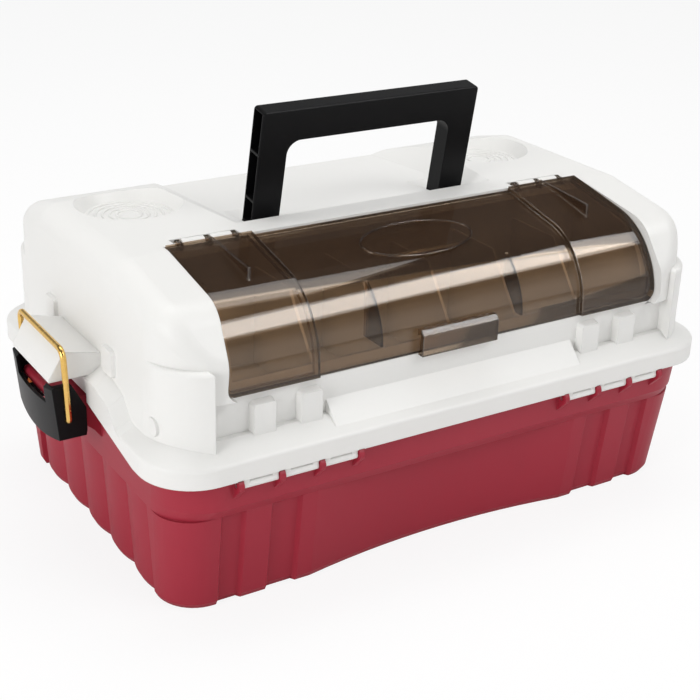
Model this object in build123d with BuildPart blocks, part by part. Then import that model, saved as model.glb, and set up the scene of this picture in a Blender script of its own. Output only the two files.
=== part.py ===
"""Three-tray tackle box: red tub, white lid with a smoky window, carrying handle,
end latches with brass bails, and three trays on folding arms.

Millimetres. X runs along the box, -Y is the hinge and window side, +Z is up.
The origin is the middle of the underside of the tub.
"""
from math import atan2, cos, degrees, hypot, radians, sin, tan
import os

from build123d import *

os.makedirs("parts", exist_ok=True)

# Overall sizes of the rim, and the height of the joint between tub and lid
rim_length = 432.0
rim_width = 296.0
rim_corner = 36.0
joint_z = 98.0
half_x = rim_length / 2
half_y = rim_width / 2

# Walls
tub_wall = 2.8
lid_wall = 3.0
floor_thickness = 3.0

# Tub: foot, neck under the collar, and the flared collar
foot_inset_x = 14.0
foot_inset_y = 21.0
foot_corner = 26.0
foot_round = 4.0
neck_inset_x = 10.5
neck_inset_y = 14.0
neck_corner = 30.0
neck_z = 68.0
collar_z = 76.0
collar_inset_x = 10.2
collar_inset_y = 8.0
collar_flare = 2.5
collar_corner = 34.0
flute_depth = 3.0
flute_spans = ((115.0, 137.0), (155.0, 172.0))
waist_half = 104.0
waist_depth = 9.0
scallop_pitch = 39.0
scallop_count = 5
scallop_depth = 3.5
seat_z = joint_z + 10.0
rim_gap = 2.0

# Lid: flange, corner columns, dome, front panel
flange_top_z = joint_z + 12.5
flange_lip = 3.0
flange_round = 3.0
flange_seat = 9.5
flange_rise = 9.0
flange_slope = 60.0
ledge_half = 97.0
ledge_top_z = 128.0
column_inset_x = 11.5
column_inset_y = 6.5
column_corner = 38.0
column_top_z = 167.0
column_round = 2.5
column_x = 178.0
column_y = 96.0
pad_spans = ((101.5, 118.5), (134.0, 151.0))
pad_top_z = 139.5
pad_depth = 6.0
pad_round = 3.0
pad_taper = 10.0
end_pad_spans = ((40.0, 57.0),)
end_pad_top_z = 154.0
end_pad_depth = 3.2
dome_inset = 10.0
dome_corner = 42.0
dome_draft = 1.5
dome_top_z = 210.0
dome_round = 16.0
crown_round = 26.0
shoulder_y = 116.0
shoulder_z = 198.5
crown_front_y = 48.0
crown_back_y = 72.0
shoulder_run = 34.0
shoulder_drop = 51.8
panel_y = 128.5
back_panel_top_z = 160.0

# Valley for the handle, wells for its feet, and the round dishes
valley_half = 91.0
valley_ramp = 2.0
valley_foot_y = -9.0
valley_foot_z = 203.2
valley_crest_y = -21.0
valley_tilt = 4.0
dish_x = 147.0
dish_y = 50.0
dish_radius = 37.0
dish_depth = 9.0
dish_taper = 35.0

# Window cover and the bin under it
cover_thickness = 2.4
cover_gap = 0.3
side_gap = 0.4
cover_half_top = 161.5
cover_half_bottom = 168.5
cover_side_proud = 3.0
cover_step_x = 103.0
cover_top_y = 42.0
cover_top_z = 208.5
cover_shoulder_y = 111.0
cover_shoulder_z = 194.0
cover_brow_y = 127.0
cover_brow_z = 165.0
cover_foot_y = 128.5
sill_z = 144.7
cover_round = 44.0
cover_corner = 8.0
bin_floor_z = 120.0
bin_half = 160.0
bin_back_y = 50.0
bin_lip_z = 152.0
divider_thickness = 2.0
bin_divider_pitch = 52.0
bin_divider_count = 5
bin_divider_top_z = 190.0
bin_divider_slope_y = 94.0

# Cover hinge: lugs and pins at each side panel
cover_pin_y = -36.5
cover_pin_z = 208.0
cover_pin_radius = 1.5
cover_lug_radius = 3.4
cover_lug_width = 2.4
cover_lug_x = (113.0, 132.0, 152.0)
cover_trough_z = 204.0
cover_trough_half = 5.2
lug_pin_end = 2.5
running_fit = 0.08

# Fins, thumb tab and bare oval pad of the cover
fin_thickness = 1.8
top_fin_x = 132.0
top_fin_height = 8.0
top_fin_end_y = 94.0
inner_fin_x = 55.0
inner_fin_depth = 8.0
inner_fin_y = 105.0
inner_fin_bottom_z = 153.0
tab_half = 29.5
tab_top_z = 161.0
tab_reach = 5.5
tab_wall = 1.6
tab_round = 3.0
oval_y = -79.0
oval_length = 84.0
oval_width = 40.0
oval_proud = 0.8

# Lid hinge on the photographed side
hinge_y = -(half_y - 3.5)
hinge_z = joint_z - 4.0
hinge_pin_radius = 1.5
knuckle_radius = 2.8
ring_radius = 4.8
ring_width = 3.6
ring_foot = 12.0
hinge_pitch = 28.0
hinge_first_x = 82.0
hinge_ring_count = 4
knuckle_gap = 0.4

# Carrying handle
handle_half = 85.7
handle_taper = 89.3
handle_depth = 14.0
handle_arm = 20.5
handle_grip = 22.0
handle_top_z = 283.8
handle_lean = 10.5
handle_fold = 80.0
handle_pin_y = -2.4
handle_pin_z = 198.0
handle_pin_radius = 2.5
handle_inner_round = 10.0
handle_edge_round = 2.5
pocket_wall = 1.7
pocket_depth = 14.0
pocket_webs = (220.0, 253.5)
well_gap = 1.2
well_length = 46.0

# End latches: lever, bail, pin and the catch on the lid
latch_pivot_x = 231.0
latch_pivot_z = 112.0
latch_pin_radius = 2.0
lever_half = 36.0
lever_back_x = 217.3
lever_crown = 2.8
lever_bottom_z = 86.5
lever_top_z = 127.5
lever_window_z = 114.0
lever_window_half = 25.0
lever_outer_x = 235.7
lever_bow = 3.4
lever_lean = 0.09
lever_smile = 4.0
cheek = 4.5
lever_wall = 2.4
boss_gap = 0.5
boss_nose = 3.8
wire_radius = 2.0
bail_pivot_x = 230.0
bail_pivot_z = 103.7
bail_bar_x = 231.7
bail_bar_z = 152.6
bail_bend = 6.0
bail_foot_bend = 2.4
bail_gap = 0.2
catch_top_z = 149.6
catch_back_z = 144.0
catch_bottom_z = 130.2
catch_top_x = 229.4
catch_bottom_x = 239.8
catch_top_half = 33.5
catch_bottom_half = 32.5
arch_foot_y = 103.0
arch_side_z = 112.0
arch_gap = 2.2
arch_crest = ((101.0, 112.0), (79.0, 119.0), (68.0, 130.0), (47.0, 135.5))
arch_drop = 7.0

# Trays and the arms that carry them
tray_half = 186.0
tray_width = 104.0
tray_front_y = 14.0
tray_height = 30.0
tray_pitch = 33.0
tray_wall = 2.0
tray_corner = 4.0
tray_names = ("lower_tray", "middle_tray", "upper_tray")
tray_columns = 5
arm_angle = 42.0
arm_pivot_y = 2.6
arm_pivot_z = 76.0
arm_first = 23.4
arm_spacing = 19.0
arm_width = 11.0
arm_thickness = 2.0
arm_gap = 1.5
link_reach = 48.0
link_thickness = 1.8
link_gap = 1.1
rivet_radius = 2.0
rivet_head = 3.0
rivet_head_thickness = 0.9
rivet_hold = 7.0
arm_boss_radius = 6.0


def save(piece, label):
    """Name a finished piece and write its STEP file."""
    piece.label = label
    export_step(piece, f"parts/{label}.step")


def moved_path(points, distance):
    """The open path of (y, z) points, moved to its right by a distance, with mitred corners."""
    normals = []
    for (y0, z0), (y1, z1) in zip(points, points[1:]):
        length = hypot(y1 - y0, z1 - z0)
        normals.append(((z1 - z0) / length, -(y1 - y0) / length))
    moved = []
    for index, (y, z) in enumerate(points):
        ny, nz = normals[max(index - 1, 0)]
        my, mz = normals[min(index, len(normals) - 1)]
        scale = distance / (1 + ny * my + nz * mz)
        moved.append((y + (ny + my) * scale, z + (nz + mz) * scale))
    return moved


def tub_outline(z, hx, hy, corner):
    """Plan of the tub wall at a height: fluted long walls with a waist, and scalloped ends."""
    diagonal = corner * (1 - cos(radians(45)))
    lean_in = 2.0
    scallop_start = -scallop_pitch * scallop_count / 2
    valley = hx - scallop_depth
    spans = [(-b, -a) for a, b in reversed(flute_spans)] + list(flute_spans)
    with BuildSketch(Plane.XY.offset(z)) as outline:
        with BuildLine():
            for turn in (1, -1):
                here = (-(hx - corner), -hy)
                for start, end in spans:
                    if start > 0 and here[0] < 0:
                        Line((turn * here[0], turn * here[1]), (-turn * waist_half, -turn * hy))
                        ThreePointArc((-turn * waist_half, -turn * hy), (0, turn * (waist_depth - hy)),
                                      (turn * waist_half, -turn * hy))
                        here = (waist_half, -hy)
                    flute = [here, (start, -hy), (start + lean_in, flute_depth - hy),
                             (end - lean_in, flute_depth - hy), (end, -hy)]
                    Polyline([(turn * x, turn * y) for x, y in flute])
                    here = (end, -hy)
                Line((turn * here[0], turn * here[1]), (turn * (hx - corner), -turn * hy))
                ThreePointArc((turn * (hx - corner), -turn * hy),
                              (turn * (hx - diagonal), turn * (diagonal - hy)),
                              (turn * hx, turn * (corner - hy)))
                Polyline([(turn * x, turn * y) for x, y in (
                    (hx, corner - hy), (hx, scallop_start - 1), (valley, scallop_start))])
                for index in range(scallop_count):
                    low = scallop_start + index * scallop_pitch
                    high = low + scallop_pitch
                    ThreePointArc((turn * valley, turn * low), (turn * hx, turn * (low + high) / 2),
                                  (turn * valley, turn * high))
                Polyline([(turn * x, turn * y) for x, y in (
                    (valley, -scallop_start), (hx, 1 - scallop_start), (hx, hy - corner))])
                ThreePointArc((turn * hx, turn * (hy - corner)),
                              (turn * (hx - diagonal), turn * (hy - diagonal)),
                              (turn * (hx - corner), turn * hy))
        make_face()
    return outline.sketch


def rounded(inset_x, inset_y, z, corner):
    """A rounded rectangle inside the rim, at a height."""
    with BuildSketch(Plane.XY.offset(z)) as outline:
        RectangleRounded(rim_length - 2 * inset_x, rim_width - 2 * inset_y, corner)
    return outline.sketch


def crossed(side_points, front_points):
    """The solid with one outline of (y, z) points seen from the side and one of (x, z) seen from the front."""
    with BuildPart() as solid:
        with BuildSketch(Plane.YZ):
            Polygon(*side_points, align=None)
        extrude(amount=rim_length, both=True)
        with BuildSketch(Plane.XZ):
            Polygon(*front_points, align=None)
        extrude(amount=rim_length, both=True, mode=Mode.INTERSECT)
    return solid.part


def tub_mass(inset, floor_z):
    """The tub's body below the collar, with its walls moved in by inset."""
    foot_x = half_x - foot_inset_x - inset
    foot_y = half_y - foot_inset_y - inset
    corner = foot_corner - inset
    foot = tub_outline(floor_z, foot_x - foot_round / 2, foot_y - foot_round / 2, corner)
    low = tub_outline(floor_z + foot_round, foot_x, foot_y, corner)
    neck = tub_outline(neck_z + inset, half_x - neck_inset_x - inset, half_y - neck_inset_y - inset, corner)
    with BuildPart() as body:
        loft([foot, low], ruled=True)
        loft([low, neck], ruled=True)
    return body.part


ledge_z = collar_z + 1.0
boss_reach = tray_half + arm_gap + arm_thickness + boss_gap
hinge_x = [hinge_first_x + hinge_pitch * index for index in range(hinge_ring_count)]
latch_half = lever_half - cheek - boss_gap
latch_pin_half = lever_half - 1.2
collar_wall_x = collar_inset_x + tub_wall
collar_wall_y = collar_inset_y + tub_wall
rim_inset_x = collar_inset_x - collar_flare
rim_inset_y = flange_lip + rim_gap

with BuildPart() as base_shell:
    add(tub_mass(0.0, 0.0))
    loft([rounded(neck_inset_x, neck_inset_y, neck_z, neck_corner),
          rounded(collar_inset_x, collar_inset_y, collar_z, collar_corner)], ruled=True)
    loft([rounded(collar_inset_x, collar_inset_y, collar_z, collar_corner),
          rounded(collar_inset_x - 0.4, collar_inset_y - collar_flare, joint_z - 1.0, collar_corner)],
         ruled=True)
    extrude(rounded(rim_inset_x, rim_inset_y, joint_z - 1.0, collar_corner), amount=seat_z - joint_z + 1.0)
    # red bosses that carry the latch levers, one on each end
    for side in (-1, 1):
        with BuildSketch(Plane.XZ) as boss_side:
            with BuildLine():
                root = half_x - collar_inset_x - 1
                Polyline([(side * x, z) for x, z in (
                    (latch_pivot_x, latch_pivot_z + boss_nose), (half_x - dome_inset + boss_gap + 1,
                     latch_pivot_z + boss_nose), (half_x - dome_inset + boss_gap + 1, seat_z - 1),
                    (root, seat_z - 1), (root, collar_z + 6), (root + 6, collar_z + 14),
                    (latch_pivot_x, latch_pivot_z - boss_nose))])
                ThreePointArc((side * latch_pivot_x, latch_pivot_z - boss_nose),
                              (side * (latch_pivot_x + boss_nose), latch_pivot_z),
                              (side * latch_pivot_x, latch_pivot_z + boss_nose))
            make_face()
        extrude(amount=latch_half, both=True)
    # cavity
    add(tub_mass(tub_wall, floor_thickness), mode=Mode.SUBTRACT)
    loft([rounded(neck_inset_y + tub_wall, neck_inset_y + tub_wall, neck_z + tub_wall - 1,
                  neck_corner - tub_wall),
          rounded(collar_wall_x, collar_wall_y, ledge_z, collar_corner - tub_wall)],
         ruled=True, mode=Mode.SUBTRACT)
    extrude(rounded(collar_wall_x, collar_wall_y, ledge_z, collar_corner - tub_wall), amount=seat_z,
            mode=Mode.SUBTRACT)
    # bosses on the end walls, where the tray arms turn
    for side in (-1, 1):
        for offset_y in (0, arm_spacing):
            with BuildSketch(Plane.YZ.offset(side * boss_reach)):
                with Locations((arm_pivot_y + offset_y, arm_pivot_z)):
                    Circle(arm_boss_radius)
            extrude(amount=side * (half_x - collar_inset_x - 1 - boss_reach))
            with BuildSketch(Plane.YZ.offset(side * boss_reach)):
                with Locations((arm_pivot_y + offset_y, arm_pivot_z)):
                    Circle(rivet_radius + running_fit)
            extrude(amount=side * (rivet_hold + running_fit), mode=Mode.SUBTRACT)
    # hinge rings, with the room for the lid's knuckles between them
    for side in (-1, 1):
        first, last = hinge_x[0], hinge_x[-1]
        with BuildSketch(Plane.YZ.offset(side * first)):
            with Locations((hinge_y, hinge_z)):
                Circle(knuckle_radius + 2 * knuckle_gap)
        extrude(amount=side * (last - first), mode=Mode.SUBTRACT)
        for x in hinge_x:
            with BuildSketch(Plane.YZ.offset(side * x)):
                with Locations((hinge_y, hinge_z)):
                    Circle(ring_radius)
                Polygon((hinge_y - ring_radius * 0.9, hinge_z - ring_radius * 0.4),
                        (hinge_y + ring_radius, hinge_z - ring_foot),
                        (hinge_y + ring_radius * 2, hinge_z - ring_foot),
                        (hinge_y + ring_radius * 1.5, hinge_z), align=None)
            extrude(amount=ring_width / 2, both=True)
        with BuildSketch(Plane.YZ.offset(side * (first - ring_width))):
            with Locations((hinge_y, hinge_z)):
                Circle(hinge_pin_radius)
        extrude(amount=side * (last - first + 2 * ring_width), mode=Mode.SUBTRACT)
    # holes for the latch pins
    for side in (-1, 1):
        with BuildSketch(Plane.XZ):
            with Locations((side * latch_pivot_x, latch_pivot_z)):
                Circle(latch_pin_radius)
        extrude(amount=latch_half, both=True, mode=Mode.SUBTRACT)
save(base_shell.part, "base_shell")

# Steel pins of the lid hinge, held in the tub's rings
for side, name in ((-1, "left"), (1, "right")):
    with BuildPart() as hinge_pin:
        with BuildSketch(Plane.YZ.offset(side * (hinge_x[0] - ring_width / 2))):
            with Locations((hinge_y, hinge_z)):
                Circle(hinge_pin_radius)
        extrude(amount=side * (hinge_x[-1] - hinge_x[0] + ring_width))
    save(hinge_pin.part, f"lid_hinge_pin_{name}")


# The lid
cover_path = [(-cover_foot_y, sill_z), (-cover_brow_y, cover_brow_z),
              (-cover_shoulder_y, cover_shoulder_z), (-cover_top_y, cover_top_z)]
seat_depth = cover_thickness + cover_gap
above_z = dome_top_z + 20.0
dome_x = half_x - dome_inset
well_half_x = handle_arm / 2 + well_gap
well_x = handle_half - handle_arm / 2
fold_y = shoulder_y + shoulder_run
fold_z = shoulder_z - shoulder_drop


def crown_solid(inset, base_z):
    """The arched middle of the lid, inside the slightly tapered outline of its walls."""
    crown = [(-fold_y, fold_z), (-shoulder_y, shoulder_z), (-crown_front_y, dome_top_z),
             (crown_back_y, dome_top_z), (shoulder_y, shoulder_z), (fold_y, fold_z)]
    crown = moved_path(crown, inset)
    with BuildPart() as body:
        with BuildSketch(Plane.YZ):
            with BuildLine():
                FilletPolyline(crown, radius=crown_round - inset)
                Polyline([crown[-1], (crown[-1][0], base_z), (crown[0][0], base_z), crown[0]])
            make_face()
        extrude(amount=half_x, both=True)
        with BuildSketch(Plane.XY.offset(base_z)):
            RectangleRounded(2 * (dome_x - inset), 2 * (half_y - dome_inset - inset), dome_corner - inset)
        extrude(amount=dome_top_z, taper=dome_draft, mode=Mode.INTERSECT)
        walls = [face for face in body.faces() if abs(face.normal_at(face.center()).Z) < 0.2]
        wall_edges = {edge for face in walls for edge in face.edges()}
        tops = [face for face in body.faces() if face.normal_at(face.center()).Z > 0.3]
        fillet([edge for face in tops for edge in face.edges() if edge in wall_edges],
               radius=dome_round - inset)
    return body.part


def corner_columns(inset, base_z):
    """The four rounded columns at the lid's corners."""
    with BuildPart() as posts:
        with BuildSketch(Plane.XY.offset(base_z)):
            RectangleRounded(2 * (half_x - column_inset_x - inset), 2 * (half_y - column_inset_y - inset),
                             column_corner - inset)
            Rectangle(2 * (column_x + inset), rim_width, mode=Mode.SUBTRACT)
            Rectangle(rim_length, 2 * (column_y + inset), mode=Mode.SUBTRACT)
        extrude(amount=column_top_z - inset - base_z)
        if not inset:
            fillet(posts.edges().group_by(Axis.Z)[-1], radius=column_round)
    return posts.part


def cover_front(margin):
    """Front view of the window cover, grown by a margin all round."""
    with BuildSketch(Plane.XZ) as outline:
        Polygon((-cover_half_bottom - margin, sill_z - margin), (cover_half_bottom + margin, sill_z - margin),
                (cover_half_top + margin, above_z), (-cover_half_top - margin, above_z), align=None)
        fillet(outline.vertices().group_by(Axis.Y)[0], radius=cover_corner + margin)
    return outline.sketch


def window_recess(inset):
    """What is cut away for the window cover, down to its seat."""
    seat = moved_path(cover_path, seat_depth + inset)
    sill = sill_z - cover_gap - inset
    with BuildPart() as cut:
        with BuildSketch(Plane.YZ):
            with BuildLine():
                FilletPolyline(seat, radius=cover_round - seat_depth - inset)
                Polyline([seat[-1], (inset - cover_top_y + 1, above_z), (-rim_width, above_z),
                          (-rim_width, sill), (seat[0][0], sill), seat[0]])
            make_face()
        extrude(amount=half_x, both=True)
        extrude(cover_front(cover_gap + side_gap + inset), amount=rim_width, mode=Mode.INTERSECT)
    return cut.part


def valley_cut(inset):
    """The valley for the handle: a short front slope, a floor falling to the back, ramps at both ends."""
    run = valley_foot_y - valley_crest_y
    drop = dome_top_z - valley_foot_z
    slope = tan(radians(valley_tilt))
    floor = moved_path([(valley_crest_y - run, dome_top_z + drop), (valley_foot_y, valley_foot_z),
                        (rim_width, valley_foot_z - (rim_width - valley_foot_y) * slope)], inset)
    along = Plane(origin=(0, floor[1][0], floor[1][1]), x_dir=(1, 0, 0), z_dir=(0, 1, -slope))
    rise = above_z - valley_foot_z
    bottom = valley_half + inset
    with BuildPart() as cut:
        with BuildSketch(Plane.YZ):
            Polygon(*floor, (floor[-1][0], above_z), (floor[0][0], above_z), align=None)
        extrude(amount=half_x, both=True)
        with BuildSketch(along):
            Polygon((valley_ramp - bottom, 1), (-bottom - valley_ramp * rise, -rise),
                    (bottom + valley_ramp * rise, -rise), (bottom - valley_ramp, 1), align=None)
        extrude(amount=rim_width, both=True, mode=Mode.INTERSECT)
    return cut.part


def well_outline(inset):
    """Side view of the well for a handle foot, with a ramp under the arm when it is folded back."""
    reach = handle_depth / 2 + well_gap
    folded = radians(handle_fold - handle_lean)
    start = (handle_pin_y + reach * cos(folded), handle_pin_z - reach * sin(folded))
    floor_z = handle_pin_z - reach
    floor_y = start[0] + (floor_z - start[1]) * tan(folded)
    front_y = handle_pin_y - reach - (dome_top_z - handle_pin_z) * tan(radians(handle_lean))
    path = moved_path([(front_y, above_z), (front_y, floor_z), (floor_y, floor_z),
                       (start[0] + well_length * sin(folded), start[1] + well_length * cos(folded))], inset)
    return [*path, (path[-1][0], above_z)]


def lid_mass(inset):
    """The lid's body without its flange, with every wall moved in by inset."""
    base_z = seat_z - 4.0 if inset else seat_z
    with BuildPart() as body:
        add(crown_solid(inset, base_z))
        add(corner_columns(inset, base_z))
        # front panel under the window, and the seat of the window cover
        with BuildSketch(Plane.XZ.offset(panel_y - inset)):
            with Locations((0, (base_z - 5 + sill_z - cover_gap - inset) / 2)):
                Rectangle(2 * (column_x + inset), sill_z - cover_gap - inset - base_z + 5)
        extrude(amount=half_y, mode=Mode.SUBTRACT)
        add(window_recess(inset), mode=Mode.SUBTRACT)
        # back panel
        with BuildSketch(Plane.XZ.offset(inset - panel_y)):
            with Locations((0, (base_z - 5 + back_panel_top_z + inset) / 2)):
                RectangleRounded(2 * (column_x + inset), back_panel_top_z + inset - base_z + 5, 8)
        extrude(amount=-half_y, mode=Mode.SUBTRACT)
        add(valley_cut(inset), mode=Mode.SUBTRACT)
        # round dishes
        with BuildSketch(Plane.XY.offset(dome_top_z)):
            with Locations((dish_x, dish_y), (-dish_x, dish_y)):
                Circle(dish_radius + inset)
        extrude(amount=-dish_depth - inset, taper=dish_taper, mode=Mode.SUBTRACT)
        # troughs for the cover's lugs, and wells for the handle's feet
        trough_middle = (cover_lug_x[0] + cover_lug_x[-1]) / 2
        trough_length = cover_lug_x[-1] - cover_lug_x[0] + cover_lug_width + 2 * lug_pin_end
        for side in (-1, 1):
            with BuildSketch(Plane.XY.offset(cover_trough_z - inset)):
                with Locations((side * trough_middle, cover_pin_y)):
                    Rectangle(trough_length + 2 * inset, 2 * (cover_trough_half + inset))
            extrude(amount=above_z, mode=Mode.SUBTRACT)
            with BuildSketch(Plane.YZ.offset(side * (well_x - well_half_x - inset))):
                Polygon(*well_outline(inset), align=None)
            extrude(amount=side * 2 * (well_half_x + inset), mode=Mode.SUBTRACT)
        # bin under the window, open to the front above its lip
        bin_front_y = panel_y - seat_depth - lid_wall + inset
        bin_rear_y = bin_back_y - inset
        with BuildSketch(Plane.XY.offset(bin_floor_z + lid_wall - inset)):
            with Locations((0, -(bin_front_y + bin_rear_y) / 2)):
                Rectangle(2 * (bin_half + inset), bin_front_y - bin_rear_y)
        extrude(amount=dome_top_z, mode=Mode.SUBTRACT)
        with BuildSketch(Plane.XY.offset(bin_lip_z - inset)):
            with Locations((0, -(half_y + bin_rear_y) / 2)):
                Rectangle(2 * (bin_half + inset), half_y - bin_rear_y)
        extrude(amount=dome_top_z, mode=Mode.SUBTRACT)
    return body.part


arm_direction = radians(arm_angle)
tray_distances = [arm_first + index * tray_pitch / sin(arm_direction) for index in range(3)]
link_arm = (link_reach * cos(arm_direction), link_reach * sin(arm_direction))
link_lid_pin = (hinge_y + link_arm[0], hinge_z + link_arm[1])
link_x = tray_half + arm_gap + arm_thickness + link_gap
lid_boss_x = link_x + link_thickness + boss_gap

with BuildPart() as flange:
    extrude(rounded(0, 0, joint_z, rim_corner), amount=flange_top_z - joint_z)
    extrude(rounded(0, 0, flange_top_z, rim_corner), amount=flange_rise, taper=flange_slope)
    rim_edges = [edge for edge in flange.edges() if abs(edge.center().Z - flange_top_z) < 0.01]
    fillet(rim_edges, radius=flange_round)


def arch_crown(x, drop):
    """Outline of the raised part of the flange over a latch, at a distance from the middle."""
    crest = [(-y, z - drop) for y, z in arch_crest] + [(y, z - drop) for y, z in reversed(arch_crest)]
    with BuildSketch(Plane.YZ.offset(x)) as outline:
        Polygon((-arch_crest[0][0], joint_z), *crest, (arch_crest[0][0], joint_z), align=None)
    return outline.sketch


with BuildPart() as lid_shell:
    add(lid_mass(0.0))
    add(flange.part)
    # raised ledge in the middle of the flange, and the raised arches over the end latches
    add(crossed([(1 - panel_y, flange_top_z - 2), (flange_round + 1 - half_y, flange_top_z - 2),
                 (flange_round + 1 - half_y, flange_top_z + 1), (-panel_y, ledge_top_z),
                 (1 - panel_y, ledge_top_z)],
                [(-ledge_half, joint_z), (ledge_half, joint_z), (ledge_half, ledge_top_z),
                 (-ledge_half, ledge_top_z)]))
    for side in (-1, 1):
        loft([arch_crown(side * (dome_x - lid_wall / 2), 0.0), arch_crown(side * half_x, arch_drop)],
             ruled=True)
    add(lid_mass(lid_wall), mode=Mode.SUBTRACT)
    # channel over the tub's rim, and the hollow inside the flange's slope
    extrude(rounded(flange_lip, flange_lip, joint_z, rim_corner - flange_lip), amount=seat_z - joint_z,
            mode=Mode.SUBTRACT)
    loft([rounded(flange_seat, flange_seat, seat_z, rim_corner - flange_seat),
          rounded(flange_seat + flange_rise, flange_seat + flange_rise, seat_z + flange_rise - lid_wall / 2,
                  rim_corner - flange_seat - flange_rise)], ruled=True, mode=Mode.SUBTRACT)
    # openings through the flange for the latch bosses
    for side in (-1, 1):
        with BuildSketch(Plane.YZ.offset(side * dome_x)):
            edge_y = latch_half + arch_gap
            top_z = latch_pivot_z + boss_nose + arch_gap
            Polygon((-arch_foot_y, joint_z - 1), (-arch_foot_y, joint_z), (-edge_y, arch_side_z),
                    (-edge_y, top_z), (edge_y, top_z), (edge_y, arch_side_z), (arch_foot_y, joint_z),
                    (arch_foot_y, joint_z - 1), align=None)
        extrude(amount=side * dome_inset * 2, mode=Mode.SUBTRACT)
    # blocks on the front panel and on the end walls
    for side in (-1, 1):
        for low, high in pad_spans:
            with BuildSketch(Plane.XZ.offset(panel_y - 0.5)):
                with Locations((side * (low + high) / 2, (seat_z + pad_top_z) / 2)):
                    RectangleRounded(high - low, pad_top_z - seat_z, pad_round)
            extrude(amount=pad_depth + 0.5, taper=pad_taper)
        for end in (-1, 1):
            for low, high in end_pad_spans:
                with BuildSketch(Plane.YZ.offset(side * (dome_x - lid_wall / 2))):
                    with Locations((end * (low + high) / 2, (arch_crest[-1][1] + end_pad_top_z) / 2)):
                        RectangleRounded(high - low, end_pad_top_z - arch_crest[-1][1], pad_round)
                extrude(amount=side * end_pad_depth, taper=pad_taper)
    # the lid's own knuckles between the cover's lugs
    for side in (-1, 1):
        for low, high in zip(cover_lug_x, cover_lug_x[1:]):
            with BuildSketch(Plane.YZ.offset(side * (low + high) / 2)):
                with Locations((cover_pin_y, cover_pin_z)):
                    Circle(cover_lug_radius)
                with Locations((cover_pin_y, (cover_pin_z + cover_trough_z) / 2 - 1)):
                    Rectangle(2 * cover_lug_radius, cover_pin_z - cover_trough_z + 2)
                with Locations((cover_pin_y, cover_pin_z)):
                    Circle(cover_pin_radius, mode=Mode.SUBTRACT)
            extrude(amount=(high - low - cover_lug_width) / 2 - 1.0, both=True)
    # holes for the handle's pins
    for side in (-1, 1):
        with BuildSketch(Plane.YZ.offset(side * (well_x - well_half_x - lid_wall))):
            with Locations((handle_pin_y, handle_pin_z)):
                Circle(handle_pin_radius)
        extrude(amount=side * 2 * (well_half_x + lid_wall), mode=Mode.SUBTRACT)
    # catches for the bails
    for side in (-1, 1):
        catch_root = dome_x - lid_wall / 2
        add(crossed([(-catch_bottom_half, catch_bottom_z), (catch_bottom_half, catch_bottom_z),
                     (catch_top_half, catch_top_z), (-catch_top_half, catch_top_z)],
                    [(side * x, z) for x, z in (
                        (catch_root, catch_bottom_z), (catch_bottom_x, catch_bottom_z),
                        (catch_bottom_x, catch_bottom_z + 2), (catch_top_x, catch_top_z),
                        (catch_root, catch_back_z))]))
    # bosses inside the end walls, for the pins of the tray links
    for side in (-1, 1):
        with BuildSketch(Plane.YZ.offset(side * lid_boss_x)):
            with Locations(link_lid_pin):
                Circle(arm_boss_radius)
        extrude(amount=side * (dome_x - 1 - lid_boss_x))
        with BuildSketch(Plane.YZ.offset(side * lid_boss_x)):
            with Locations(link_lid_pin):
                Circle(rivet_radius + running_fit)
        extrude(amount=side * (rivet_hold + running_fit), mode=Mode.SUBTRACT)
    # hinge: notches for the tub's rings, then the knuckles on their webs
    for side in (-1, 1):
        for x in hinge_x:
            with BuildSketch(Plane.YZ.offset(side * x)):
                with Locations((hinge_y, hinge_z)):
                    Circle(ring_radius + 2 * knuckle_gap)
            extrude(amount=ring_width / 2 + knuckle_gap, both=True, mode=Mode.SUBTRACT)
        for low, high in zip(hinge_x, hinge_x[1:]):
            reach = (high - low - ring_width) / 2 - knuckle_gap
            middle = side * (low + high) / 2
            with BuildSketch(Plane.YZ.offset(middle)):
                with Locations((hinge_y, hinge_z)):
                    Circle(knuckle_radius)
            extrude(amount=reach, both=True)
            for end in (-1, 1):
                with BuildSketch(Plane.YZ.offset(middle + end * (reach - 2))):
                    with Locations((hinge_y - 1.2, hinge_z + 3.2)):
                        Rectangle(2.4, 3.4)
                extrude(amount=2, both=True)
            with BuildSketch(Plane.YZ.offset(middle)):
                with Locations((hinge_y, hinge_z)):
                    Circle(hinge_pin_radius + running_fit)
            extrude(amount=reach, both=True, mode=Mode.SUBTRACT)
save(lid_shell.part, "lid_shell")


# Smoky window cover over the bin
def cover_section(outer, inner):
    """Side view of a shell following the cover's path, between two distances from it."""
    face = moved_path(cover_path, outer)
    back = moved_path(cover_path, inner)
    with BuildSketch(Plane.YZ) as section:
        with BuildLine():
            FilletPolyline(face, radius=cover_round - outer)
            FilletPolyline(back, radius=cover_round - inner)
            Line(face[0], back[0])
            Line(face[-1], back[-1])
        make_face()
    return section.sketch


skin_inner = cover_thickness - cover_side_proud
with BuildPart() as cover_hollow:
    extrude(cover_section(skin_inner, cover_thickness), amount=half_x, both=True)
    extrude(cover_front(-cover_thickness), amount=half_y, mode=Mode.INTERSECT)

with BuildPart() as side_panels:
    extrude(cover_section(-cover_side_proud, cover_thickness), amount=half_x, both=True)
    add(cover_hollow.part, mode=Mode.SUBTRACT)
    extrude(cover_section(-cover_side_proud - 1, cover_thickness + 1), amount=cover_step_x, both=True,
            mode=Mode.SUBTRACT)

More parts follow.
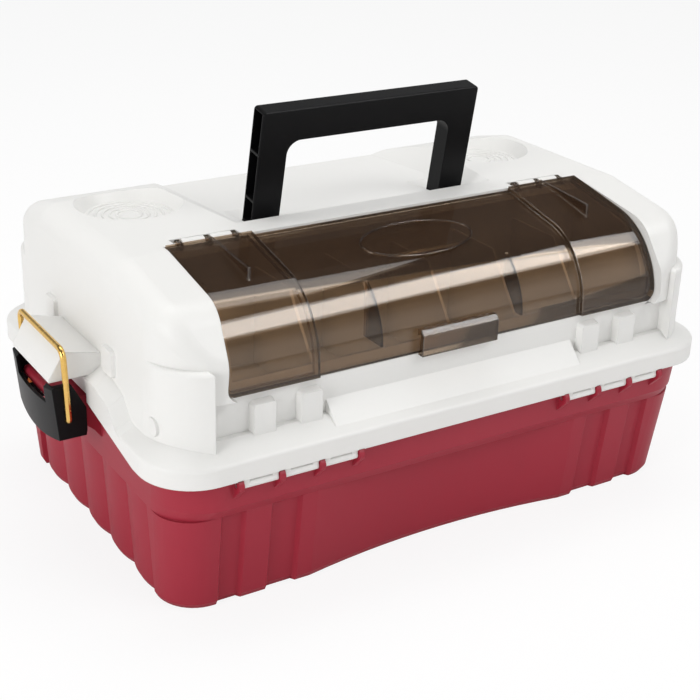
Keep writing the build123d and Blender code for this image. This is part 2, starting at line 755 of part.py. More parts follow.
top_slope = atan2(cover_top_z - cover_shoulder_z, cover_shoulder_y - cover_top_y)
with BuildPart() as inner_fin:
    extrude(cover_section(cover_thickness / 2, 4 * inner_fin_depth), amount=fin_thickness / 2, both=True)
    with BuildSketch(Plane.XY.offset(inner_fin_bottom_z)):
        with Locations((0, -(cover_foot_y + inner_fin_y) / 2)):
            Rectangle(2 * fin_thickness, cover_foot_y - inner_fin_y)
    extrude(amount=above_z, mode=Mode.INTERSECT)

with BuildPart() as window_cover:
    extrude(cover_section(0, cover_thickness), amount=cover_step_x + 2, both=True)
    add(side_panels.part)
    for side in (-1, 1):
        step = cover_section(-cover_side_proud, cover_thickness).moved(Location((side * cover_step_x, 0, 0)))
        extrude(step, amount=side * cover_thickness)
    extrude(cover_front(0), amount=half_y, mode=Mode.INTERSECT)
    # thumb tab at the lower edge
    add(crossed([(1 - cover_foot_y, tab_top_z), (tab_round - cover_foot_y - tab_reach, tab_top_z),
                 (-cover_foot_y - tab_reach, tab_top_z - tab_round), (-cover_foot_y - tab_reach, sill_z - 1),
                 (-cover_foot_y - 0.5, sill_z - 1), (-cover_foot_y - 0.5, sill_z + 0.2),
                 (0.6 - cover_foot_y, sill_z + 0.2)],
                [(-tab_half, joint_z), (tab_half, joint_z), (tab_half, dome_top_z), (-tab_half, dome_top_z)]))
    add(crossed([(-cover_foot_y, tab_top_z - tab_wall),
                 (tab_round - cover_foot_y - tab_reach, tab_top_z - tab_wall),
                 (tab_wall - cover_foot_y - tab_reach, tab_top_z - tab_round - tab_wall / 2),
                 (tab_wall - cover_foot_y - tab_reach, sill_z - 5), (-cover_foot_y, sill_z - 5)],
                [(tab_wall - tab_half, joint_z), (tab_half - tab_wall, joint_z),
                 (tab_half - tab_wall, dome_top_z), (tab_wall - tab_half, dome_top_z)]), mode=Mode.SUBTRACT)
    # bare oval pad on the upper slope
    oval_z = cover_top_z - (-oval_y - cover_top_y) * tan(top_slope)
    with BuildSketch(Plane(origin=(0, oval_y, oval_z), x_dir=(1, 0, 0),
                           z_dir=(0, -sin(top_slope), cos(top_slope)))):
        Ellipse(oval_length / 2, oval_width / 2)
    extrude(amount=oval_proud)
    # fins over and under the cover
    for side in (-1, 1):
        add(inner_fin.part.moved(Location((side * inner_fin_x, 0, 0))))
        fin_z = cover_top_z - (top_fin_end_y - cover_top_y) * tan(top_slope) + cover_side_proud
        crest_z = cover_top_z + cover_side_proud
        with BuildSketch(Plane.YZ.offset(side * top_fin_x)):
            Polygon((-cover_top_y, crest_z - 1.2), (-cover_top_y, crest_z + 0.6),
                    (-top_fin_end_y, fin_z + top_fin_height), (-top_fin_end_y, fin_z - 1.2), align=None)
        extrude(amount=fin_thickness / 2, both=True)
    # lugs of the hinge
    for side in (-1, 1):
        for x in cover_lug_x:
            with BuildSketch(Plane.YZ.offset(side * x)):
                with Locations((cover_pin_y, cover_pin_z)):
                    Circle(cover_lug_radius)
                with Locations((cover_pin_y - 3.5, cover_pin_z + 0.6)):
                    Rectangle(7, 4.4)
                with Locations((cover_pin_y, cover_pin_z)):
                    Circle(cover_pin_radius + running_fit, mode=Mode.SUBTRACT)
            extrude(amount=cover_lug_width / 2, both=True)
save(window_cover.part, "window_cover")

for side, name in ((-1, "left"), (1, "right")):
    with BuildPart() as cover_pin:
        with BuildSketch(Plane.YZ.offset(side * (cover_lug_x[0] - cover_lug_width / 2 - lug_pin_end + 0.5))):
            with Locations((cover_pin_y, cover_pin_z)):
                Circle(cover_pin_radius)
        extrude(amount=side * (cover_lug_x[-1] - cover_lug_x[0] + cover_lug_width + 2 * lug_pin_end - 1))
    save(cover_pin.part, f"window_hinge_pin_{name}")

with BuildPart() as bin_divider:
    front_y = seat_depth + lid_wall - panel_y
    with BuildSketch(Plane.YZ):
        Polygon((front_y, bin_floor_z + lid_wall), (-bin_back_y, bin_floor_z + lid_wall),
                (-bin_back_y, bin_divider_top_z), (-bin_divider_slope_y, bin_divider_top_z),
                (front_y, bin_lip_z), align=None)
    extrude(amount=divider_thickness / 2, both=True)
plates = [Pos(bin_divider_pitch * (index - (bin_divider_count - 1) / 2), 0, 0) * bin_divider.part
          for index in range(bin_divider_count)]
save(Part() + plates, "bin_dividers")

# Carrying handle, drawn upright about its pins and then leaned to the front
with BuildPart() as carry_handle:
    rise = handle_top_z - handle_pin_z
    with BuildSketch(Plane.XZ.offset(-handle_pin_y)) as front_view:
        with Locations((0, handle_pin_z + rise / 2)):
            Trapezoid(2 * handle_half, rise, handle_taper)
        with Locations((0, handle_pin_z + (rise - handle_grip) / 2)):
            Trapezoid(2 * (handle_half - handle_arm), rise - handle_grip, handle_taper, mode=Mode.SUBTRACT)
        fillet(front_view.vertices().group_by(Axis.Y)[1], radius=handle_inner_round)
        fillet(front_view.vertices().group_by(Axis.Y)[-1], radius=handle_edge_round)
    extrude(amount=handle_depth / 2, both=True)
    fillet(carry_handle.edges().filter_by(Axis.X).group_by(Axis.Z)[-1], radius=pocket_wall - 0.2)
    web_z = [handle_pin_z + handle_pin_radius + pocket_wall, *pocket_webs, handle_top_z - pocket_wall / 2]
    for side in (-1, 1):
        with BuildSketch(Plane.YZ.offset(side * (handle_half - handle_arm))):
            with Locations((handle_pin_y, handle_pin_z)):
                Circle(handle_depth / 2)
        extrude(amount=side * handle_arm)
        with BuildSketch(Plane.YZ.offset(side * handle_half)):
            for low, high in zip(web_z, web_z[1:]):
                with Locations((handle_pin_y, (low + high) / 2)):
                    Rectangle(handle_depth - 2 * pocket_wall, high - low - pocket_wall)
        extrude(amount=-side * pocket_depth, mode=Mode.SUBTRACT)
        with BuildSketch(Plane.YZ.offset(side * (handle_half - handle_arm - 1))):
            with Locations((handle_pin_y, handle_pin_z)):
                Circle(handle_pin_radius + running_fit)
        extrude(amount=side * (handle_arm + 2), mode=Mode.SUBTRACT)
save(carry_handle.part.rotate(Axis((0, handle_pin_y, handle_pin_z), (1, 0, 0)), handle_lean), "carry_handle")

for side, name in ((-1, "left"), (1, "right")):
    with BuildPart() as handle_pin:
        with BuildSketch(Plane.YZ.offset(side * (well_x - well_half_x - lid_wall))):
            with Locations((handle_pin_y, handle_pin_z)):
                Circle(handle_pin_radius)
        extrude(amount=side * 2 * (well_half_x + lid_wall))
    save(handle_pin.part, f"handle_pin_{name}")


# End latches
def lever_body(side, inset, half):
    """What lies inside the lever's bowed and leaning outer face, moved in by inset, within a half width."""
    outer = lever_outer_x - inset
    root = half_x - dome_inset
    with BuildPart() as body:
        with BuildSketch(Plane.XY.offset(lever_bottom_z)):
            with BuildLine():
                ThreePointArc((side * outer, -lever_half), (side * (outer + lever_bow), 0),
                              (side * outer, lever_half))
                Polyline([(side * outer, lever_half), (side * root, lever_half), (side * root, -lever_half),
                          (side * outer, -lever_half)])
            make_face()
        extrude(amount=2 * lever_half, dir=(side * lever_lean, 0, 1))
        with BuildSketch(Plane.XZ):
            with Locations((side * half_x, lever_top_z)):
                Rectangle(rim_width, 6 * lever_half)
        extrude(amount=half, both=True, mode=Mode.INTERSECT)
    return body.part


for side, name in ((-1, "left"), (1, "right")):
    with BuildPart() as lever:
        with BuildSketch(Plane.XZ) as lever_side:
            Polygon(*[(side * x, z) for x, z in (
                (lever_outer_x - 16.8, lever_bottom_z), (lever_back_x, lever_bottom_z + 7.5),
                (lever_back_x, lever_bottom_z + 23.5), (lever_back_x + 6.2, lever_top_z - 5.5),
                (lever_back_x + 9.2, lever_top_z), (lever_outer_x + lever_crown, lever_top_z),
                (lever_outer_x + lever_crown + 8, lever_top_z - 8), (lever_outer_x + lever_crown + 8, lever_bottom_z))],
                    align=None)
        extrude(amount=lever_half, both=True)
        add(lever_body(side, 0.0, lever_half), mode=Mode.INTERSECT)
        add(lever_body(side, lever_wall, lever_half - cheek), mode=Mode.SUBTRACT)
        # window over the web, and the curved lower edge
        with BuildSketch(Plane.YZ):
            with Locations((0, lever_window_z + lever_half)):
                Rectangle(2 * lever_window_half, 2 * lever_half)
            with BuildLine():
                ThreePointArc((-lever_half, lever_bottom_z + lever_smile), (0, lever_bottom_z),
                              (lever_half, lever_bottom_z + lever_smile))
                Polyline([(lever_half, lever_bottom_z + lever_smile), (lever_half, lever_bottom_z - 5),
                          (-lever_half, lever_bottom_z - 5), (-lever_half, lever_bottom_z + lever_smile)])
            make_face()
        extrude(amount=side * rim_length, mode=Mode.SUBTRACT)
        with BuildSketch(Plane.XZ):
            with Locations((side * latch_pivot_x, latch_pivot_z)):
                Circle(latch_pin_radius + running_fit)
        extrude(amount=latch_pin_half + running_fit, both=True, mode=Mode.SUBTRACT)
        with BuildSketch(Plane.XZ):
            with Locations((side * bail_pivot_x, bail_pivot_z)):
                Circle(wire_radius + running_fit)
        extrude(amount=lever_half, both=True, mode=Mode.SUBTRACT)
    save(lever.part, f"{name}_latch_lever")

    with BuildPart() as bail:
        leg = hypot(bail_pivot_x - bail_bar_x, bail_bar_z - bail_pivot_z)
        leg_y = lever_half + wire_radius + bail_gap
        slope = ((bail_bar_x - bail_pivot_x) * side / leg, (bail_bar_z - bail_pivot_z) / leg)
        bail_plane = Plane(origin=(side * bail_pivot_x, 0, bail_pivot_z), x_dir=(0, 1, 0),
                           z_dir=(slope[1], 0, -slope[0]))
        with BuildLine(bail_plane) as wire:
            end_y = lever_half - cheek
            FilletPolyline((-end_y, 0), (-leg_y, 0), (-leg_y, leg), (leg_y, leg), (leg_y, 0), (end_y, 0),
                           radius=[bail_foot_bend, bail_bend, bail_bend, bail_foot_bend])
        with BuildSketch(Plane(origin=wire.line @ 0, z_dir=wire.line % 0)):
            Circle(wire_radius)
        sweep(path=wire.line)
    save(bail.part, f"{name}_latch_bail")

    with BuildPart() as latch_pin:
        with BuildSketch(Plane.XZ):
            with Locations((side * latch_pivot_x, latch_pivot_z)):
                Circle(latch_pin_radius)
        extrude(amount=latch_pin_half, both=True)
    save(latch_pin.part, f"{name}_latch_pin")

# Trays and their dividers
for name, distance in zip(tray_names, tray_distances):
    front = arm_pivot_y + distance * cos(arm_direction)
    middle_z = arm_pivot_z + distance * sin(arm_direction)
    bottom_z = middle_z - tray_height / 2
    with BuildPart() as tray:
        middle_y = tray_front_y + tray_width / 2
        with BuildSketch(Plane.XY.offset(bottom_z)):
            with Locations((0, middle_y)):
                RectangleRounded(2 * tray_half, tray_width, tray_corner)
        extrude(amount=tray_height)
        with BuildSketch(Plane.XY.offset(bottom_z + tray_wall)):
            with Locations((0, middle_y)):
                RectangleRounded(2 * (tray_half - tray_wall), tray_width - 2 * tray_wall,
                                 tray_corner - tray_wall)
        extrude(amount=tray_height, mode=Mode.SUBTRACT)
        with BuildSketch(Plane.YZ.offset(-tray_half)):
            with Locations((front, middle_z), (front + arm_spacing, middle_z)):
                Circle(rivet_radius + running_fit)
        extrude(amount=2 * tray_half, mode=Mode.SUBTRACT)
    save(tray.part, name)

    inner_length = 2 * (tray_half - tray_wall)
    step = inner_length / tray_columns
    with BuildPart() as divider:
        with BuildSketch(Plane.XY.offset(bottom_z + tray_wall)):
            with Locations((0, middle_y)):
                Rectangle(divider_thickness, tray_width - 2 * tray_wall)
        extrude(amount=tray_height - tray_wall - 3)
    plates = [Pos(step * (index + 1) - inner_length / 2, 0, 0) * divider.part
              for index in range(tray_columns - 1)]
    save(Part() + plates, f"{name}_dividers")

# Folding arms, their rivets, and the links to the lid
arm_x = tray_half + arm_gap
for side, name in ((-1, "left"), (1, "right")):
    for place, pivot_y in (("front", arm_pivot_y), ("rear", arm_pivot_y + arm_spacing)):
        reach = tray_distances[-1]
        outside = Plane(origin=(side * arm_x, pivot_y, arm_pivot_z),
                        x_dir=(0, cos(arm_direction), sin(arm_direction)), z_dir=(side, 0, 0))
        stops = [0, *tray_distances]
        with BuildPart() as arm:
            with BuildSketch(outside):
                with Locations((reach / 2, 0)):
                    SlotCenterToCenter(reach, arm_width)
                with Locations(*[(stop, 0) for stop in stops]):
                    Circle(rivet_radius, mode=Mode.SUBTRACT)
                if place == "front":
                    with Locations((link_reach, 0)):
                        Circle(rivet_radius + running_fit, mode=Mode.SUBTRACT)
            extrude(amount=arm_thickness)
        save(arm.part, f"{name}_{place}_arm")
        with BuildPart() as rivets:
            with BuildSketch(outside.offset(-rivet_head_thickness)):
                Circle(rivet_head)
            extrude(amount=rivet_head_thickness)
            with BuildSketch(outside):
                Circle(rivet_radius)
            extrude(amount=arm_thickness + boss_gap + rivet_hold)
            with BuildSketch(outside.offset(arm_thickness)):
                with Locations(*[(stop, 0) for stop in tray_distances]):
                    Circle(rivet_head)
            extrude(amount=rivet_head_thickness)
            with BuildSketch(outside.offset(-arm_gap - tray_wall - boss_gap)):
                with Locations(*[(stop, 0) for stop in tray_distances]):
                    Circle(rivet_radius)
            extrude(amount=arm_gap + tray_wall + boss_gap + arm_thickness)
            with BuildSketch(outside.offset(-arm_gap - tray_wall - boss_gap)):
                with Locations(*[(stop, 0) for stop in tray_distances]):
                    Circle(rivet_head)
            extrude(amount=-rivet_head_thickness)
        save(rivets.part, f"{name}_{place}_arm_rivets")
    arm_pin = (arm_pivot_y + link_arm[0], arm_pivot_z + link_arm[1])
    span = (link_lid_pin[0] - arm_pin[0], link_lid_pin[1] - arm_pin[1])
    with BuildPart() as link:
        with BuildSketch(Plane.YZ.offset(side * link_x)):
            with Locations(((link_lid_pin[0] + arm_pin[0]) / 2, (link_lid_pin[1] + arm_pin[1]) / 2)):
                SlotCenterToCenter(hypot(*span), 9, rotation=degrees(atan2(span[1], span[0])))
            with Locations(arm_pin, link_lid_pin):
                Circle(rivet_radius, mode=Mode.SUBTRACT)
        extrude(amount=side * link_thickness)
    save(link.part, f"{name}_lid_link")
    with BuildPart() as link_rivets:
        with BuildSketch(Plane.YZ.offset(side * (arm_x - rivet_head_thickness))):
            with Locations(arm_pin):
                Circle(rivet_head)
        extrude(amount=side * rivet_head_thickness)
        with BuildSketch(Plane.YZ.offset(side * arm_x)):
            with Locations(arm_pin):
                Circle(rivet_radius)
        extrude(amount=side * (link_x + link_thickness - arm_x))
        with BuildSketch(Plane.YZ.offset(side * (link_x + link_thickness))):
            with Locations(arm_pin):
                Circle(rivet_head)
        extrude(amount=side * rivet_head_thickness)
        with BuildSketch(Plane.YZ.offset(side * (link_x - rivet_head_thickness))):
            with Locations(link_lid_pin):
                Circle(rivet_head)
        extrude(amount=side * rivet_head_thickness)
        with BuildSketch(Plane.YZ.offset(side * link_x)):
            with Locations(link_lid_pin):
                Circle(rivet_radius)
        extrude(amount=side * (link_thickness + boss_gap + rivet_hold))
    save(link_rivets.part, f"{name}_link_rivets")
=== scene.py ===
# A three-tray tackle box: red tub, white lid, smoky window, black handle and end latches with brass bails
import math

import bpy
from mathutils import Matrix, Vector


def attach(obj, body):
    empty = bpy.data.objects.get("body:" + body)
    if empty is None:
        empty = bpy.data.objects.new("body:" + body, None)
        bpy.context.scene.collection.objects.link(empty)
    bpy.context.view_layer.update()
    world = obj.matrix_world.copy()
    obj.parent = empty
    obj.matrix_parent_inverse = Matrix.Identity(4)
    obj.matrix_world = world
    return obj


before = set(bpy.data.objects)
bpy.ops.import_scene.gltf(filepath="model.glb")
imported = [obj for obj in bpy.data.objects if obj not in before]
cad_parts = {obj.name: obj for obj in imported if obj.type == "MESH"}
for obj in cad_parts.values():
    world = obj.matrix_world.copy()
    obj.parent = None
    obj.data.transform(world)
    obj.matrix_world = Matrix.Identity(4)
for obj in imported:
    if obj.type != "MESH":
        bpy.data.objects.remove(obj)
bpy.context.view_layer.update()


# The studio. The box stands on a white sweep, as in a catalogue picture, with soft lamps at the front right,
# at the left and above. A card that only gloss sees draws the long highlight on the window.
camera_target = Vector((-0.02353, 0.0, 0.09608))
camera_azimuth = math.radians(-31.35)
camera_elevation = math.radians(24.11)
camera_roll = math.radians(1.38)
camera_distance = 0.999
frame_size = 700
focal_pixels = 1383.5
optical_centre = (320.45, 347.78)
sensor_width = 36.0
sweep_size = 30.0
sweep_white = (0.93, 0.93, 0.93, 1.0)
sweep_roughness = 0.9
floor_glow = 0.85
world_light = 0.47
sweep_top = 0.25
ceiling_start = 0.5
ceiling_grey = 0.12
box_middle = (0, 0, 0.1)
window_middle = (0, -0.11, 0.18)


def make_camera():
    """A camera at the photograph's place, with its roll and its small shift."""
    back = Vector((math.sin(camera_azimuth) * math.cos(camera_elevation),
                   -math.cos(camera_azimuth) * math.cos(camera_elevation), math.sin(camera_elevation)))
    level = Vector((math.cos(camera_azimuth), math.sin(camera_azimuth), 0))
    upright = back.cross(level)
    right = math.cos(camera_roll) * level + math.sin(camera_roll) * upright
    up = math.cos(camera_roll) * upright - math.sin(camera_roll) * level
    lens = bpy.data.cameras.new("camera")
    lens.sensor_width = sensor_width
    lens.lens = focal_pixels / frame_size * sensor_width
    lens.shift_x = (frame_size / 2 - optical_centre[0]) / frame_size
    lens.shift_y = (optical_centre[1] - frame_size / 2) / frame_size
    camera = bpy.data.objects.new("camera", lens)
    camera.matrix_world = Matrix.Translation(camera_target + back * camera_distance) @ Matrix(
        (right, up, back)).transposed().to_4x4()
    bpy.context.scene.collection.objects.link(camera)
    bpy.context.scene.camera = camera


def make_lamp(name, place, aim, width, height, watts, gloss_only=False):
    """A rectangular soft lamp that points at a spot on the box; a gloss card lights no matte surface."""
    light = bpy.data.lights.new(name, "AREA")
    light.shape = "RECTANGLE"
    light.size = width
    light.size_y = height
    light.energy = watts
    lamp = bpy.data.objects.new(name, light)
    lamp.location = place
    lamp.rotation_euler = (Vector(aim) - Vector(place)).to_track_quat("-Z", "Y").to_euler()
    lamp.visible_diffuse = not gloss_only
    bpy.context.scene.collection.objects.link(lamp)


class Value:
    """A socket that takes part in Python sums, each of which adds a Math node."""

    def __init__(self, nodes, socket):
        self.nodes = nodes
        self.socket = socket

    def combined(self, operation, first, second):
        """One Math node on two numbers or sockets."""
        return self.nodes.node("ShaderNodeMath", {"operation": operation}, {0: first, 1: second})

    def larger(self, other):
        """The larger of the two."""
        return self.combined("MAXIMUM", self, other)

    def __add__(self, other):
        return self.combined("ADD", self, other)

    def __sub__(self, other):
        return self.combined("SUBTRACT", self, other)

    def __rsub__(self, other):
        return self.combined("SUBTRACT", other, self)

    def __mul__(self, other):
        return self.combined("MULTIPLY", self, other)

    __radd__ = __add__
    __rmul__ = __mul__


class Nodes:
    """The nodes of one tree: the world's, a material's or a modifier's."""

    def __init__(self, tree):
        self.tree = tree

    def set(self, node, sockets):
        """Set or link a node's sockets, by name or number."""
        for name, value in sockets.items():
            socket = node.inputs[name.replace("_", " ") if isinstance(name, str) else name]
            if isinstance(value, Value):
                self.tree.links.new(value.socket, socket)
            else:
                socket.default_value = value

    def node(self, kind, settings=None, sockets=None, output=0):
        """Add a node with its settings and sockets, and return one of its outputs."""
        added = self.tree.nodes.new(kind)
        for name, value in (settings or {}).items():
            setattr(added, name, value)
        self.set(added, sockets or {})
        return Value(self, added.outputs[output])

    def ray(self, kind):
        """1 on one kind of ray, such as Camera or Glossy, and 0 on the others."""
        return self.node("ShaderNodeLightPath", output=f"Is {kind} Ray")


class Finish(Nodes):
    """A material built node by node around one Principled shader."""

    def __init__(self, name, **sockets):
        self.material = bpy.data.materials.new(name)
        self.material.use_nodes = True
        super().__init__(self.material.node_tree)
        self.shader = self.tree.nodes["Principled BSDF"]
        self.set(self.shader, sockets)

    def noise(self, waves, detail=2.0, roughness=0.5):
        """Even noise of a given number of waves per metre, in the box's own frame."""
        place = self.node("ShaderNodeTexCoord", output="Object")
        return self.node("ShaderNodeTexNoise", None,
                         {"Vector": place, "Scale": waves, "Detail": detail, "Roughness": roughness})

    def blend(self, share, first, second):
        """Two colours mixed by a share. Sockets 6 and 7 and output 2 are the Mix node's colours."""
        return self.node("ShaderNodeMix", {"data_type": "RGBA"}, {0: share, 6: (*first, 1), 7: (*second, 1)},
                         output=2)

    def bump(self, height, distance, strength=1.0, under=None):
        """A bump of a given height in metres, on top of another normal where one is given."""
        sockets = {"Height": height, "Distance": distance, "Strength": strength}
        if under:
            sockets["Normal"] = under
        return self.node("ShaderNodeBump", None, sockets)

    def paint(self, color, roughness, bump):
        """Feed the shader's colour, roughness and normal."""
        self.set(self.shader, {"Base Color": color, "Roughness": roughness, "Normal": bump})
        return self.material

    def cover(self, share, under, over):
        """Show one shader through another, as far as a share says."""
        mix = self.node("ShaderNodeMixShader", None, {0: share, 1: under, 2: over})
        self.set(self.tree.nodes["Material Output"], {"Surface": mix})
        return self.material

    def surface(self):
        """The Principled shader itself, to be mixed with another."""
        return Value(self, self.shader.outputs[0])


def white_world():
    """A world that camera and glass see as white, and gloss as a white sweep under a dark ceiling."""
    world = bpy.data.worlds.new("studio")
    bpy.context.scene.world = world
    world.use_nodes = True
    studio = Nodes(world.node_tree)
    direction = studio.node("ShaderNodeTexCoord", output="Generated")
    height = studio.node("ShaderNodeSeparateXYZ", None, {0: direction}, output="Z")
    ceiling = studio.node("ShaderNodeMapRange", None,
                          {"Value": height, "From Min": sweep_top, "From Max": ceiling_start,
                           "To Min": 1.0, "To Max": ceiling_grey})
    glossy = studio.ray("Glossy")
    seen = studio.ray("Camera").larger(studio.ray("Transmission"))
    level = seen.larger(glossy * ceiling + (1 - glossy) * world_light)
    studio.set(world.node_tree.nodes["Background"], {"Color": (1, 1, 1, 1), "Strength": level})


def white_floor():
    """A floor that glows white for the camera only, so that it keeps the shadow and lights the box gently."""
    mesh = bpy.data.meshes.new("floor")
    half = sweep_size / 2
    mesh.from_pydata([(-half, -half, 0), (half, -half, 0), (half, half, 0), (-half, half, 0)], [],
                     [(0, 1, 2, 3)])
    floor = bpy.data.objects.new("floor", mesh)
    bpy.context.scene.collection.objects.link(floor)
    sweep = Finish("floor", Base_Color=sweep_white, Roughness=sweep_roughness, Specular_IOR_Level=0.0)
    glow = sweep.node("ShaderNodeEmission")
    mesh.materials.append(sweep.cover(sweep.ray("Camera") * floor_glow, sweep.surface(), glow))


bpy.context.scene.view_settings.view_transform = "Standard"
make_camera()
white_world()
white_floor()
make_lamp("key", place=(0.9, -1.2, 1.6), aim=box_middle, width=1.2, height=0.8, watts=10.5)
make_lamp("left_side", place=(-1.9, -0.6, 0.8), aim=box_middle, width=0.9, height=1.2, watts=17)
make_lamp("top", place=(0.1, 0.3, 1.7), aim=box_middle, width=1.6, height=0.8, watts=12)
make_lamp("window_card", place=(1.02, -1.20, 1.66), aim=window_middle, width=1.7, height=0.62, watts=19,
          gloss_only=True)


# The red tub. One injection moulding in deep red polypropylene with a fine matte spark finish: a flared
# collar, fluted long walls, scalloped ends and the hinge rings along its front edge.
tub_red = (0.36, 0.022, 0.042)
tub_red_shade = (0.30, 0.016, 0.033)
tub_roughness = 0.46
corner_radius = 0.0008
corner_samples = 6
grain_share = 0.3
grain_dulls = 0.06
drift_dulls = 0.08


def soft_corners(finish):
    """A normal that rounds the sharp corners of a moulding."""
    return finish.node("ShaderNodeBevel", {"samples": corner_samples}, {"Radius": corner_radius})


def moulded(name, color, shade, roughness, grain=900.0, depth=0.00005, mottle=18.0, **sockets):
    """Moulded plastic: a fine spark-eroded grain, a slow drift of tone and gloss, and softened corners."""
    finish = Finish(name, **sockets)
    drift = finish.noise(mottle, detail=3.0)
    grainy = finish.noise(grain, detail=3.0, roughness=0.6)
    tone = finish.blend(drift * (1 - grain_share) + grainy * grain_share, shade, color)
    # the noises average a half, so the mean roughness stays the one that is asked for
    rough = roughness + drift * drift_dulls + grainy * grain_dulls - (drift_dulls + grain_dulls) / 2
    return finish.paint(tone, rough, finish.bump(grainy, depth, under=soft_corners(finish)))


def wear(node, material):
    """Give a part of the frame its material."""
    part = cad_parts[node]
    part.data.materials.clear()
    part.data.materials.append(material)


wear("base_shell", moulded("tub_red", tub_red, tub_red_shade, tub_roughness, Specular_IOR_Level=0.28))


# The white lid. Injection-moulded in pearl white, glossier than the tub, with a soft orange-peel to its
# skin. It hangs on two steel pins along the front edge and carries the bin, the handle and the catches.
lid_white = (0.81, 0.805, 0.785)
lid_white_shade = (0.765, 0.76, 0.74)
lid_roughness = 0.44
dish_x = 0.147
dish_y = 0.050
dish_floor_z = 0.2010
dish_rings = 5
dish_first_ring = 0.0085
dish_ring_step = 0.0048
dish_bead_radius = 0.0009
ring_sides = 72
bead_sides = 8


def bead_tree():
    """Concentric rings, copied to a row of places, stretched and tilted there, and swept as round beads."""
    tree = bpy.data.node_groups.new("bead_rings", "GeometryNodeTree")
    inputs = {"Rings": "Int", "First": "Float", "Step": "Float", "Bead": "Float", "Middle": "Vector",
              "Copies": "Int", "Apart": "Vector", "Stretch": "Vector", "Tilt": "Float",
              "Material": "Material"}
    for name, kind in inputs.items():
        tree.interface.new_socket(name=name, in_out="INPUT", socket_type=f"NodeSocket{kind}")
    tree.interface.new_socket(name="Geometry", in_out="OUTPUT", socket_type="NodeSocketGeometry")
    nodes = Nodes(tree)
    given = {name: nodes.node("NodeGroupInput", output=name) for name in inputs}
    centres = nodes.node("GeometryNodeMeshLine", None, {"Count": given["Rings"], "Offset": (0, 0, 0)})
    radius = nodes.node("GeometryNodeInputIndex") * given["Step"] + given["First"]
    circle = nodes.node("GeometryNodeCurvePrimitiveCircle", None, {"Resolution": ring_sides, "Radius": 1.0})
    rings = nodes.node("GeometryNodeInstanceOnPoints", None,
                       {"Points": centres, "Instance": circle, "Scale": radius})
    places = nodes.node("GeometryNodeMeshLine", None,
                        {"Count": given["Copies"], "Start Location": given["Middle"],
                         "Offset": given["Apart"]})
    turn = nodes.node("ShaderNodeCombineXYZ", None, {"X": given["Tilt"]})
    copies = nodes.node("GeometryNodeInstanceOnPoints", None,
                        {"Points": places, "Instance": rings, "Rotation": turn, "Scale": given["Stretch"]})
    paths = nodes.node("GeometryNodeRealizeInstances", None, {"Geometry": copies})
    section = nodes.node("GeometryNodeCurvePrimitiveCircle", None,
                         {"Resolution": bead_sides, "Radius": given["Bead"]})
    swept = nodes.node("GeometryNodeCurveToMesh", None, {"Curve": paths, "Profile Curve": section})
    plain = nodes.node("GeometryNodeRealizeInstances", None, {"Geometry": swept})
    coated = nodes.node("GeometryNodeSetMaterial", None,
                        {"Geometry": plain, "Material": given["Material"]})
    nodes.set(tree.nodes.new("NodeGroupOutput"), {"Geometry": coated})
    return tree


def beads(name, body, slot, **values):
    """Make rings of bead from the tree's named inputs, as one plain mesh that rides on a body."""
    source = bpy.data.objects.new(f"{name}_source", bpy.data.meshes.new(f"{name}_source"))
    bpy.context.scene.collection.objects.link(source)
    modifier = source.modifiers.new("rings", "NODES")
    modifier.node_group = bead_rings
    for item in bead_rings.interface.items_tree:
        if item.in_out == "INPUT":
            modifier[item.identifier] = values[item.name.lower()]
    mesh = bpy.data.meshes.new_from_object(source.evaluated_get(bpy.context.evaluated_depsgraph_get()))
    mesh.name = name
    bpy.data.objects.remove(source)
    for face in mesh.polygons:
        face.use_smooth = True
    piece = bpy.data.objects.new(name, mesh)
    bpy.context.scene.collection.objects.link(piece)
    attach(piece, body)


pearl = moulded("pearl_white", lid_white, lid_white_shade, lid_roughness, grain=500.0, depth=0.00003,
                mottle=9.0, Specular_IOR_Level=0.35, Coat_Weight=0.05, Coat_Roughness=0.30)
wear("lid_shell", pearl)
wear("bin_dividers", pearl)
bead_rings = bead_tree()
beads("dish_beads", "lid", "pearl_white_plastic", material=pearl, rings=dish_rings, first=dish_first_ring,
      step=dish_ring_step, bead=dish_bead_radius, middle=(-dish_x, dish_y, dish_floor_z), copies=2,
      apart=(2 * dish_x, 0, 0), stretch=(1, 1, 1), tilt=0.0)


# Steel hinge pins of the lid and the window, the handle's pivots, the latches' pins and all the rivets.
# Drawn steel wire with a dull nickel plate.
steel_dull = (0.50, 0.50, 0.51)
steel_bright = (0.62, 0.62, 0.63)


def metal(name, dull, bright, grain, detail, roughness, spread, depth):
    """Bare or plated metal whose grain drifts from a dull tone to a bright and slightly rougher one."""
    finish = Finish(name, Metallic=1.0)
    drift = finish.noise(grain, detail)
    return finish.paint(finish.blend(drift, dull, bright), drift * spread + roughness,
                        finish.bump(drift, depth))


steel = metal("plated_steel", steel_dull, steel_bright, grain=220.0, detail=4.0, roughness=0.25, spread=0.15,
              depth=0.00002)
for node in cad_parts:
    if "_pin" in node or "rivets" in node:
        wear(node, steel)


# The smoky window. Clear polycarbonate tinted brown, 2.4 mm thick, with a polished skin. What is under it
# shows through the tint, and its corners and cut edges look darker. A thin bead frames its bare oval pad.
window_tint = (0.89, 0.785, 0.67, 1)
window_body = (0.060, 0.041, 0.032, 1)
window_roughness = 0.04
window_gloss = 3.4
window_index = 1.45
window_ripple = 14.0
ripple_height = 0.0006
ripple_strength = 0.1
skin_share = 0.8
edge_share = 1.2
body_share = 0.10
edge_width = 0.0007
edge_samples = 4
oval_half_length = 0.042
oval_half_width = 0.020
oval_centre_y = -0.079
oval_centre_z = 0.2015
oval_tilt = math.radians(11.87)
oval_bead_radius = 0.0007


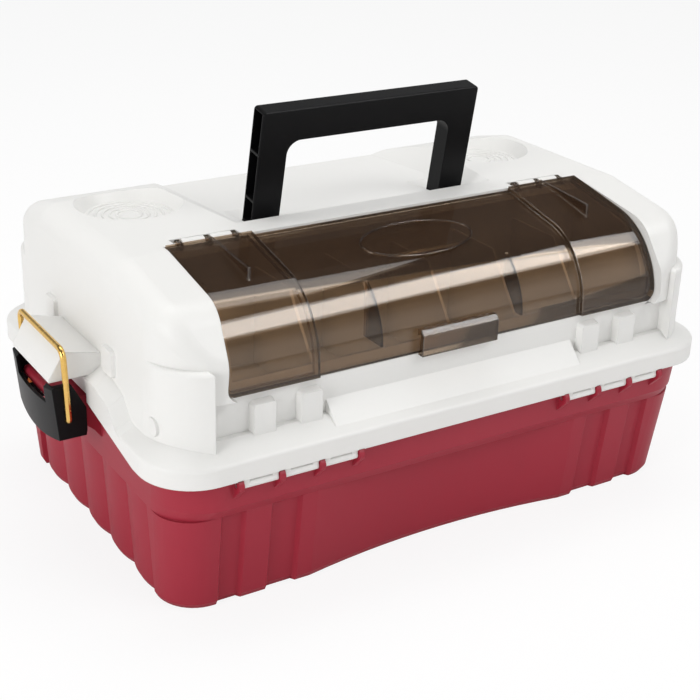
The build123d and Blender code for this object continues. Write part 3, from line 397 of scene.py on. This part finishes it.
def cut_edges(finish):
    """About 1 on edges that stick out, and 0 on flat faces."""
    bevel = finish.node("ShaderNodeBevel", {"samples": edge_samples}, {"Radius": edge_width})
    normal = finish.node("ShaderNodeNewGeometry", output="Normal")
    alike = finish.node("ShaderNodeVectorMath", {"operation": "DOT_PRODUCT"}, {0: bevel, 1: normal},
                        output="Value")
    return 1 - alike


def smoky_window():
    """Tinted clear plastic: a tinted see-through layer under a polished skin that hides more at corners."""
    finish = Finish("smoky_window", Base_Color=window_body, Roughness=window_roughness, IOR=window_gloss)
    ripple = finish.bump(finish.noise(window_ripple), ripple_height, ripple_strength, soft_corners(finish))
    finish.set(finish.shader, {"Normal": ripple})
    through = finish.node("ShaderNodeBsdfTransparent", None, {"Color": window_tint})
    skin = finish.node("ShaderNodeFresnel", None, {"IOR": window_index})
    return finish.cover(skin * skin_share + cut_edges(finish) * edge_share + body_share, through,
                        finish.surface())


smoky = smoky_window()
wear("window_cover", smoky)
beads("oval_bead", "window", "smoky_window", material=smoky, rings=1, first=1.0, step=0.0,
      bead=oval_bead_radius, middle=(0, oval_centre_y, oval_centre_z), copies=1, apart=(0, 0, 0),
      stretch=(oval_half_length, oval_half_width, 1), tilt=oval_tilt)


# The carrying handle and the latch levers. Moulded in black polypropylene with a satin grain. The handle
# turns on two pivots in the lid's valley, and each lever on a pin in the end of the tub.
handle_black = (0.005, 0.005, 0.0055)
handle_black_shade = (0.003, 0.003, 0.0035)
handle_roughness = 0.38
black = moulded("black_plastic", handle_black, handle_black_shade, handle_roughness, grain=1200.0,
                Specular_IOR_Level=0.12)
wear("carry_handle", black)
for side in ("left", "right"):
    wear(f"{side}_latch_lever", black)


# The bails. Brass-plated spring wire, bright, with faint drawing marks along it. Each is bent to a loop
# whose feet turn in the lever, and whose bar lies over the catch on the lid.
brass_dull = (0.70, 0.42, 0.10)
brass_bright = (0.86, 0.58, 0.20)
brass = metal("brass_wire", brass_dull, brass_bright, grain=300.0, detail=4.0, roughness=0.16, spread=0.18,
              depth=0.00002)
for side in ("left", "right"):
    wear(f"{side}_latch_bail", brass)


# The trays, their dividers and the arms. Off-white polypropylene trays, moulded, with separate dividers.
# They are riveted to zinc-plated steel arms and links that lift them with the lid.
tray_white = (0.74, 0.72, 0.67)
tray_white_shade = (0.70, 0.68, 0.63)
tray_roughness = 0.45
zinc_dull = (0.55, 0.55, 0.56)
zinc_bright = (0.70, 0.70, 0.71)
tray_plastic = moulded("tray_plastic", tray_white, tray_white_shade, tray_roughness)
for tray in ("lower_tray", "middle_tray", "upper_tray"):
    wear(tray, tray_plastic)
    wear(f"{tray}_dividers", tray_plastic)
zinc = metal("zinc_plate", zinc_dull, zinc_bright, grain=120.0, detail=5.0, roughness=0.28, spread=0.2,
             depth=0.00003)
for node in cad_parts:
    if node.endswith("_arm") or node.endswith("_link"):
        wear(node, zinc)
